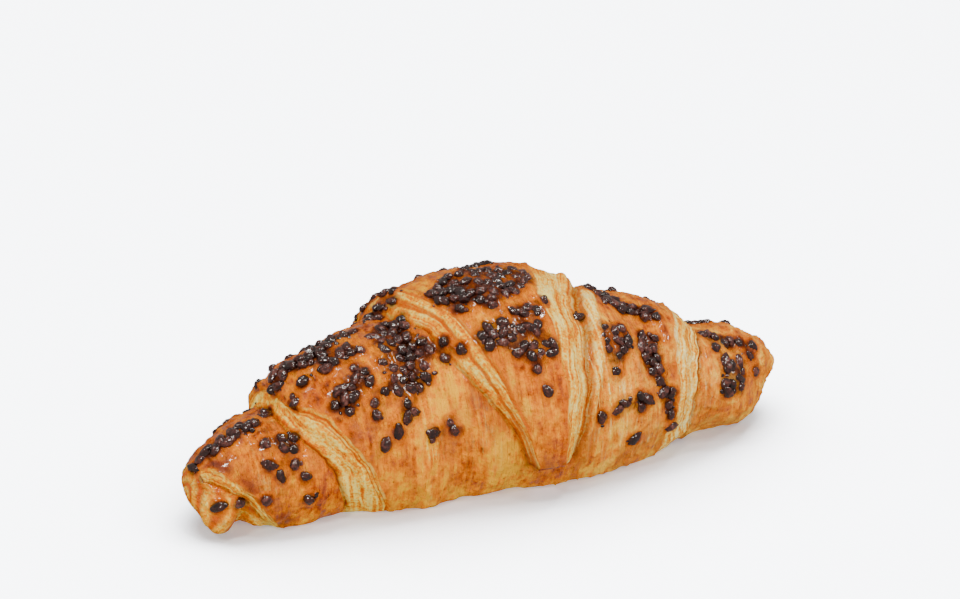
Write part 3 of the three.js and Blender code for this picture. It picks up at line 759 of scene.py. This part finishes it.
def find_spot(draw, group, spread, kind, places):
    """Draws spots in a group until one is clear of all places, and adds it there. It may find none."""
    middle_x, middle_angle, half_x, half_angle, _ = group
    for _ in range(kind["tries"]):
        reach, turn = spread * math.sqrt(next(draw)), 2 * math.pi * next(draw)
        x = middle_x + half_x * reach * math.cos(turn)
        angle = middle_angle + half_angle * reach * math.sin(turn)
        place = surface_point(np.array(float(x)), np.array(float(angle)))
        if not places or np.min(np.linalg.norm(np.array(places) - place, axis=1)) >= kind["gap"]:
            places.append(place)
            return {"x": x, "angle": angle, "place": place}
    return None


def place_grains():
    """The grains' places, group by group, each clear of the ones before."""
    draw = draws(SEED)
    grains, places = [], []
    start, end, longer = GRAIN_STRETCH
    for group in GRAIN_GROUPS:
        for _ in range(group[-1]):
            size, spin, width = next(draw), 180 * next(draw), mix(GRAIN["width"], next(draw))
            grain = find_spot(draw, group, 1, GRAIN, places)
            if grain:
                length, height = mix(GRAIN["length"], size**2), mix(GRAIN["height"], size)
                length = length * (1 + longer * (1 - smooth(start, end, grain["x"])))
                grains.append({**grain, "spin": spin, "size": (length, width, height)})
    return grains


def place_crumbs(grains):
    """Smaller bits in and around the same groups, clear of the grains."""
    draw = draws(CRUMB_SEED)
    crumbs, places = [], [grain["place"] for grain in grains]
    wide, high = CRUMBS["form"]
    for group in GRAIN_GROUPS:
        for _ in range(round(CRUMBS["share"] * group[-1])):
            size, spin = next(draw), 180 * next(draw)
            crumb = find_spot(draw, group, CRUMBS["spread"], CRUMBS, places)
            if crumb:
                length = mix(CRUMBS["length"], size**2)
                crumbs.append({**crumb, "spin": spin, "size": (length, wide * length, high * length)})
    return crumbs


def ball_points(count, crowding):
    """Points along a spiral over a ball of radius 1, closer together at its top."""
    golden_angle = math.pi * (3 - math.sqrt(5))
    height = 1 - 2 * ((np.arange(count) + 0.5) / count) ** crowding
    turn = np.arange(count) * golden_angle
    across = np.sqrt(1 - height**2)
    return np.stack([across * np.cos(turn), across * np.sin(turn), height], -1)


def hull_faces(points):
    form = bmesh.new()
    for point in points:
        form.verts.new(point)
    form.verts.index_update()
    bmesh.ops.convex_hull(form, input=form.verts)
    faces = np.array([[vertex.index for vertex in face.verts] for face in form.faces])
    form.free()
    return faces


def chipped(points, draw):
    """The ball's points pulled in to a chip's flat faces and rounded edges."""
    even = ball_points(CHIPS["count"], 1)
    facing = unit(even + CHIPS["stray"] * draw.normal(size=even.shape))
    depth = draw.uniform(*CHIPS["depth"], CHIPS["count"])
    nearness = np.maximum(points @ facing.T, 0) / depth
    sharpness = CHIPS["sharpness"]
    powers = np.sum(nearness**sharpness, axis=1, keepdims=True) + CHIPS["most"] ** -sharpness
    return points * powers ** (-1 / sharpness)


def grain_lumps(points, number):
    """The lumps of a grain, which differ by its number."""
    apart, seed = GRAIN_LUMPS["apart"] * number, GRAIN_LUMPS["seed"]
    return sum(amount * noise(points / 2 * often + apart, seed) for often, amount in GRAIN_LUMPS["waves"])


def build_grains(name, grains, count):
    points = ball_points(count, GRAIN_CROWDING)
    faces = hull_faces(points)
    draw = np.random.default_rng(CHIPS["seed"])
    vertices, triangles, tones_and_shades = [], [], []
    for i, grain in enumerate(grains):
        along, out = core_frame(np.array(float(grain["x"])), np.array(float(grain["angle"])))
        across = np.cross(out, along)
        spin = math.radians(grain["spin"])
        long = along * math.cos(spin) + across * math.sin(spin)
        wide = np.cross(out, long)
        lumps = grain_lumps(points, i)
        local = chipped(points, draw) / 2 * (1 + lumps[:, None]) * np.array(grain["size"])
        middle = grain["place"] + out * grain["size"][2] * (0.5 - GRAIN["sunk"])
        vertices.append(middle + local @ np.stack([long, wide, out]))
        triangles.append(faces + i * len(points))
        tone_and_shade = (i * GRAIN_TONE_AND_SHADE["step"]) % 1
        # Painted light and shade: lighter on the grain's upper side and its lumps, darker in the hollows
        # between lumps, over a random tone.
        tones_and_shades.append(tone_and_shade + GRAIN_TONE_AND_SHADE["height"] * points[:, 2] + GRAIN_TONE_AND_SHADE["lumps"] * lumps)
    mesh = smooth_mesh(name, np.concatenate(vertices), np.concatenate(triangles).tolist())
    store(mesh, "tone_and_shade", np.concatenate(tones_and_shades))
    mesh.update()
    return bpy.data.objects.new(name, mesh)


# Materials


def linear(colour):
    """An sRGB colour of 0 to 255 as the linear values that a shader takes."""
    def value(share):
        return share / 12.92 if share <= 0.04045 else ((share + 0.055) / 1.055) ** 2.4
    return [value(channel / 255) for channel in colour] + [1]


class Shader:
    """A material's nodes, made one call at a time."""

    def __init__(self, name):
        self.material = bpy.data.materials.new(name)
        self.material.use_nodes = True
        self.tree = self.material.node_tree
        self.surface = self.tree.nodes["Principled BSDF"]

    def node(self, kind, sockets=(), **settings):
        made = self.tree.nodes.new("ShaderNode" + kind)
        for key, value in settings.items():
            setattr(made, key, value)
        for key, value in dict(sockets).items():
            self.give(made.inputs[key], value)
        return made

    def give(self, socket, value):
        if isinstance(value, bpy.types.NodeSocket):
            self.tree.links.new(value, socket)
        else:
            socket.default_value = value

    def attribute(self, name, output="Fac"):
        return self.node("Attribute", attribute_name=name).outputs[output]

    def feed(self, values):
        for name, value in values.items():
            self.give(self.surface.inputs[name], value)

    def math(self, operation, first, second, clamp=False):
        sockets = {0: first, 1: second}
        return self.node("Math", sockets, operation=operation, use_clamp=clamp).outputs[0]

    def plus(self, first, second):
        return self.math("ADD", first, second)

    def times(self, first, second):
        return self.math("MULTIPLY", first, second)

    def greater(self, first, second):
        return self.math("MAXIMUM", first, second)

    def rest(self, value, whole=1):
        """What a value leaves of the whole."""
        return self.math("SUBTRACT", whole, value, clamp=True)

    def mix(self, share, first, second):
        """A mix of two colours, by the node's sockets for colours."""
        return self.node("Mix", {0: share, 6: first, 7: second}, data_type="RGBA").outputs[2]

    def noise(self, vector, scale, detail, rough=0.55):
        sockets = {"Vector": vector, "Scale": scale, "Detail": detail, "Roughness": rough}
        return self.node("TexNoise", sockets).outputs["Fac"]

    def stretched_noise(self, vector, stretch, scale, detail):
        """A noise with long features round the roll."""
        sockets = {0: vector, 1: (1, stretch, 1)}
        placed = self.node("VectorMath", sockets, operation="MULTIPLY").outputs[0]
        return self.noise(placed, scale, detail)

    def rescale(self, value, low, high, to_low=0.0, to_high=1.0):
        sockets = {"Value": value, "From Min": low, "From Max": high, "To Min": to_low, "To Max": to_high}
        return self.node("MapRange", sockets, interpolation_type="SMOOTHSTEP").outputs[0]

    def shade(self, value, name):
        return self.rescale(value, *SHADES[name])

    def calmed(self, value, share):
        """A noise drawn to its middle where the share is low."""
        return self.plus(0.5, self.times(self.math("SUBTRACT", value, 0.5), share))

    def ridge(self, value, sharpness):
        """1 where a noise crosses its middle and 0 away from there, as thin lines."""
        away = self.math("ABSOLUTE", self.math("SUBTRACT", value, 0.5), 0.0)
        return self.rest(self.times(away, sharpness))

    def uneven(self, value, textures, amounts):
        """A value made uneven by textures, each by its amount."""
        for name, amount in amounts.items():
            value = self.plus(value, self.rescale(textures[name], *NOISE_SPAN, -amount, amount))
        return value

    def ramp(self, value, stops):
        made = self.node("ValToRGB", {0: value})
        elements = made.color_ramp.elements
        while len(elements) < len(stops):
            elements.new(1)
        for element, (place, colour) in zip(elements, stops):
            element.position = place
            element.color = linear(colour)
        return made.outputs[0]

    def bump(self, height, distance, strength, normal=None):
        sockets = {"Height": height, "Distance": distance, "Strength": strength}
        if normal is not None:
            sockets["Normal"] = normal
        return self.node("Bump", sockets).outputs[0]


def dough_textures(shader):
    """The textures by name. The stretched ones are calmed at the tips, where the sheet narrows."""
    object_place = shader.node("TexCoord").outputs["Object"]
    textures = {name: shader.noise(object_place, *look) for name, look in DOUGH_TEXTURES.items()}
    sheet = shader.attribute("sheet", "Vector")
    parts = shader.node("SeparateXYZ", {0: sheet}).outputs
    edge = shader.node("CombineXYZ", {0: shader.attribute("depth"), 1: parts[1]}).outputs[0]
    from_tip = shader.rest(shader.attribute("tip"))
    for name, (place, *look) in STRETCHED_TEXTURES.items():
        texture = shader.stretched_noise(sheet if place == "sheet" else edge, *look)
        textures[name] = shader.calmed(texture, from_tip)
    layers = shader.stretched_noise(edge, LAYERS["stretch"], *LAYERS["noise"])
    textures["layers"] = shader.times(shader.ridge(layers, LAYERS["sharpness"]), from_tip)
    textures["rightness"] = shader.shade(parts[0], "rightness")
    return textures


def dough_colour(shader, textures, bake, streak, lines):
    """The crust by its bake, with a painted highlight, and the cut layers by their streaks, under lines,
    stains, painted shade and spots.
    """
    times, shade, attribute = shader.times, shader.shade, shader.attribute

    def sided(value, colours):
        ramps = (shader.ramp(value, colours[side]) for side in ("left", "right"))
        return shader.mix(textures["rightness"], *ramps)

    mottle, patches = textures["mottle"], textures["patches"]
    mauve = shade(textures["mauve"], "mauve")
    crust = shader.mix(mauve, sided(bake, CRUST_COLOURS), linear(COLOURS["mauve"]))
    tears = times(times(shade(textures["tears"], "tears"), attribute("torn")), STRENGTHS["tears"])
    pale = shader.greater(shade(attribute("face"), "face"), tears)
    colour = shader.mix(pale, crust, sided(streak, PALE_COLOURS))
    stain_and_shade = times(attribute("stain_and_shade"), shade(mottle, "stain_and_shade"))
    for name, share in {
        "lines": times(lines, STRENGTHS["lines"]),
        "margin": times(attribute("margin"), shade(mottle, "margin")),
        "rim": times(attribute("rim"), STRENGTHS["rim"]),
        # Painted shade in the grooves and the crack.
        "shaded_groove": times(attribute("shaded_groove"), STRENGTHS["shaded_groove"]),
        # The stain, with painted shade at the grains' feet.
        "stained": times(shade(stain_and_shade, "stained"), shade(patches, "stained_and_shaded_patches")),
        # Partly a chocolate stain, partly painted shade between crowded grains.
        "crowd_stain_and_shade": times(attribute("crowd_stain_and_shade"), shade(mottle, "crowd_stain_and_shade")),
        "spots": times(shade(textures["specks"], "spots"), STRENGTHS["spots"]),
    }.items():
        over = shader.ramp(stain_and_shade, STAIN_AND_SHADE_COLOURS) if name == "stained" else linear(COLOURS[name])
        colour = shader.mix(share, colour, over)
    return colour


def dough_material():
    shader = Shader("baked_dough")
    times, shade, attribute = shader.times, shader.shade, shader.attribute
    textures = dough_textures(shader)
    face = attribute("face")
    bake = shader.uneven(attribute("bake"), textures, BAKE_UNEVEN)
    streak = shade(shader.uneven(textures["fine_streaks"], textures, STREAK_UNEVEN), "streak")
    layers = times(textures["layers"], attribute("bunch"))
    lines = shader.greater(shade(attribute("lines"), "lines"), layers)

    glaze = times(shader.rest(face), shade(bake, "glaze"))
    glaze = shader.greater(glaze, times(attribute("stain_and_shade"), STRENGTHS["stain_gloss"]))
    glaze = times(glaze, shader.rest(attribute("shaded_groove")))

    bump = shader.bump(shader.greater(lines, streak), *BUMPS["lines"])
    distance, strength = BUMPS["tears"]
    bump = shader.bump(textures["tears"], distance, shader.rest(face, strength), bump)
    bump = shader.bump(textures["wobble"], *BUMPS["wobble"], bump)
    bump = shader.bump(times(textures["pores"], shade(face, "pores")), *BUMPS["pores"], bump)

    shader.feed({
        "Base Color": dough_colour(shader, textures, bake, streak, lines),
        "Coat Weight": times(glaze, shade(textures["beads"], "beads")),
        "Roughness": shade(glaze, "dull"),
        "Normal": bump,
        **DOUGH_SURFACE,
    })
    return shader.material


def chocolate_material():
    shader = Shader("dark_chocolate")
    object_place = shader.node("TexCoord").outputs["Object"]
    mottle, pits = (shader.noise(object_place, *CHOCOLATE_TEXTURES[name]) for name in ("mottle", "pits"))
    # The tone is random for each grain, with painted light on its upper side and lumps and painted shade in
    # its hollows.
    tone_and_shade = shader.shade(shader.attribute("tone_and_shade"), "chocolate_tone_and_shade")
    tone_and_shade = shader.plus(tone_and_shade, shader.shade(mottle, "chocolate_mottle"))
    shader.feed({
        "Base Color": shader.ramp(tone_and_shade, CHOCOLATE_COLOURS),
        "Roughness": shader.shade(mottle, "chocolate_dull"),
        "Normal": shader.bump(pits, *BUMPS["chocolate"]),
        **CHOCOLATE_SURFACE,
    })
    return shader.material


def floor_material():
    shader = Shader("pale_floor")
    # Painted contact shadow: the glow falls where an ambient-occlusion node finds the croissant near.
    open_share = shader.node("AmbientOcclusion", {"Distance": FLOOR["shade_reach"]}).outputs["AO"]
    least = FLOOR["glow"] * FLOOR["shade_least"]
    shader.feed({
        "Base Color": linear(FLOOR_COLOUR),
        "Roughness": FLOOR["roughness"],
        "Emission Color": linear(FLOOR_COLOUR),
        "Emission Strength": shader.rescale(open_share, FLOOR["shade_from"], 1, least, FLOOR["glow"]),
    })
    return shader.material


# Camera, lights and floor


def place_camera():
    azimuth, elevation = (math.radians(VIEW[key]) for key in ("azimuth", "elevation"))
    level = math.cos(elevation)
    back = Vector((math.sin(azimuth) * level, -math.cos(azimuth) * level, math.sin(elevation)))
    camera = bpy.data.objects.new("camera", bpy.data.cameras.new("camera"))
    camera.data.lens = VIEW["lens"]
    camera.data.sensor_width = VIEW["sensor"]
    camera.location = (Vector(VIEW["target"]) + back * VIEW["distance"]) * MM
    aim = (-back).to_track_quat("-Z", "Y").to_matrix().to_4x4()
    turn = Euler((math.radians(VIEW["raised"]), math.radians(VIEW["turned_left"]), 0)).to_matrix().to_4x4()
    camera.rotation_euler = (aim @ turn).to_euler()
    bpy.context.scene.collection.objects.link(camera)
    bpy.context.scene.camera = camera


def add_light(name, place, aim_x, size, power, in_gloss):
    light = bpy.data.lights.new(name, "AREA")
    light.shape = "RECTANGLE"
    light.size, light.size_y = size
    light.energy = power
    light.color = LIGHT_COLOUR
    lamp = bpy.data.objects.new(name, light)
    lamp.location = place
    aim = Vector((aim_x, 0, AIM_HEIGHT)) - Vector(place)
    lamp.rotation_euler = aim.to_track_quat("-Z", "Y").to_euler()
    lamp.visible_camera = False
    lamp.visible_glossy = in_gloss
    bpy.context.scene.collection.objects.link(lamp)


def light_stage():
    for light in LIGHTS:
        add_light(*light)
    world = bpy.data.worlds.new("studio")
    world.use_nodes = True
    background = world.node_tree.nodes["Background"]
    background.inputs["Color"].default_value = (*LIGHT_COLOUR, 1)
    background.inputs["Strength"].default_value = WORLD_STRENGTH
    bpy.context.scene.world = world


def add_floor():
    """A glowing floor, hidden from diffuse and glossy rays so that it doesn't light the croissant."""
    mesh = bpy.data.meshes.new("floor")
    half = FLOOR["half"]
    corners = [(-half, -half, 0), (half, -half, 0), (half, half, 0), (-half, half, 0)]
    mesh.from_pydata(corners, [], [(0, 1, 2, 3)])
    floor = bpy.data.objects.new("floor", mesh)
    floor.data.materials.append(floor_material())
    floor.visible_diffuse = False
    floor.visible_glossy = False
    bpy.context.scene.collection.objects.link(floor)


def show(piece, material):
    """Puts a piece in the scene in the croissant's place."""
    piece.data.materials.append(material)
    bpy.context.scene.collection.objects.link(piece)
    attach(piece, "root")
    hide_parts("croissant")


grains = place_grains()
show(build_dough(grains), dough_material())
chocolate = chocolate_material()
show(build_grains("chocolate_grains", grains, GRAIN_POINTS), chocolate)
show(build_grains("chocolate_crumbs", place_crumbs(grains), CRUMB_POINTS), chocolate)
place_camera()
light_stage()
add_floor()
